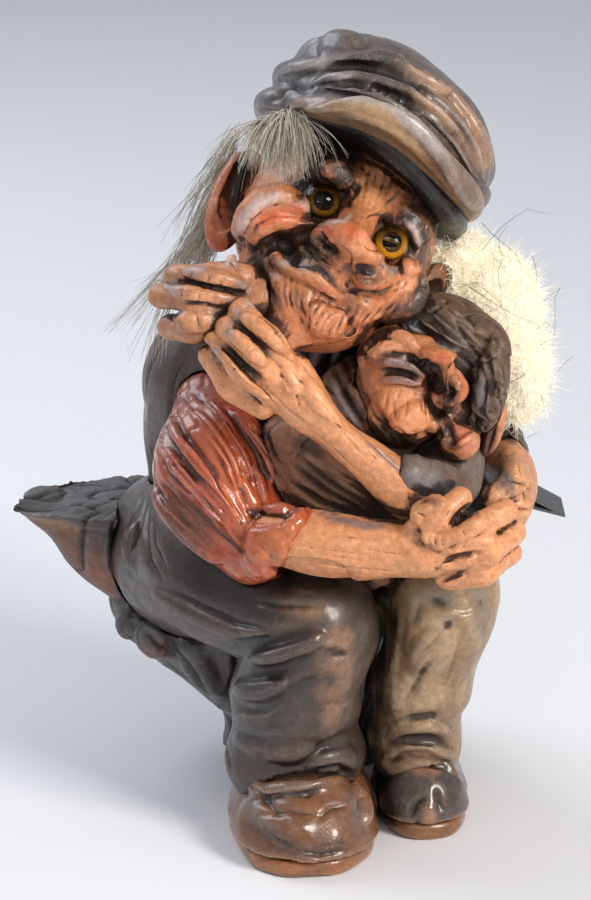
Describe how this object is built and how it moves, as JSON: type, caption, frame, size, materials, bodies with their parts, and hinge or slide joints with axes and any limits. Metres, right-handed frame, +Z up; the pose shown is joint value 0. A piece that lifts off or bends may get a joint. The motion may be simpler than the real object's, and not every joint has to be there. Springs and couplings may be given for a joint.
{
  "type": "seated troll couple figure",
  "caption": "Cast and painted ornament of an old troll in a flat cap hugging a small troll on a tree stump, with amber glass eyes and tufts of hair.",
  "frame": {"origin": "middle of the bounding box, on the floor plane", "axes": "+Z up, the trolls look towards -Y, the bark ledge sticks out towards -X"},
  "size_m": [0.1844, 0.149, 0.2595],
  "materials": {
    "skin_paint": "satin",
    "cap_paint": "semi-gloss",
    "jacket_paint": "satin",
    "red_paint": "gloss",
    "dress_paint": "satin",
    "trouser_paint": "satin",
    "shoe_paint": "gloss",
    "sole_paint": "gloss",
    "bark_paint": "satin",
    "grey_hair": "matte",
    "cream_wool": "matte",
    "eye_glass": "clear",
    "iris_amber": "gloss",
    "pupil_black": "gloss",
    "card": "matte"
  },
  "bodies": {
    "root": {"big_head": "skin_paint", "big_left_ear": "skin_paint", "big_right_ear": "skin_paint", "cap_crown": "cap_paint", "cap_visor": "cap_paint", "card_tag": "card", "far_hand": "skin_paint", "forelock": "grey_hair", "left_eye_glass": "eye_glass", "left_eye_iris": "iris_amber", "left_eye_pupil": "pupil_black", "left_hand": "skin_paint", "left_leg": "trouser_paint", "left_shoe": "shoe_paint", "left_sleeve": "jacket_paint", "left_sole": "sole_paint", "near_arm": "skin_paint", "right_arm": "skin_paint", "right_eye_glass": "eye_glass", "right_eye_iris": "iris_amber", "right_eye_pupil": "pupil_black", "right_leg": "trouser_paint", "right_shoe": "shoe_paint", "right_sleeve": "red_paint", "right_sole": "sole_paint", "side_hair": "grey_hair", "small_ear": "skin_paint", "small_hair": "dress_paint", "small_head": "skin_paint", "small_skirt": "dress_paint", "small_sleeve": "dress_paint", "small_torso": "dress_paint", "stump": "bark_paint", "torso": "jacket_paint", "wool": "cream_wool"}
  },
  "joints": []
}
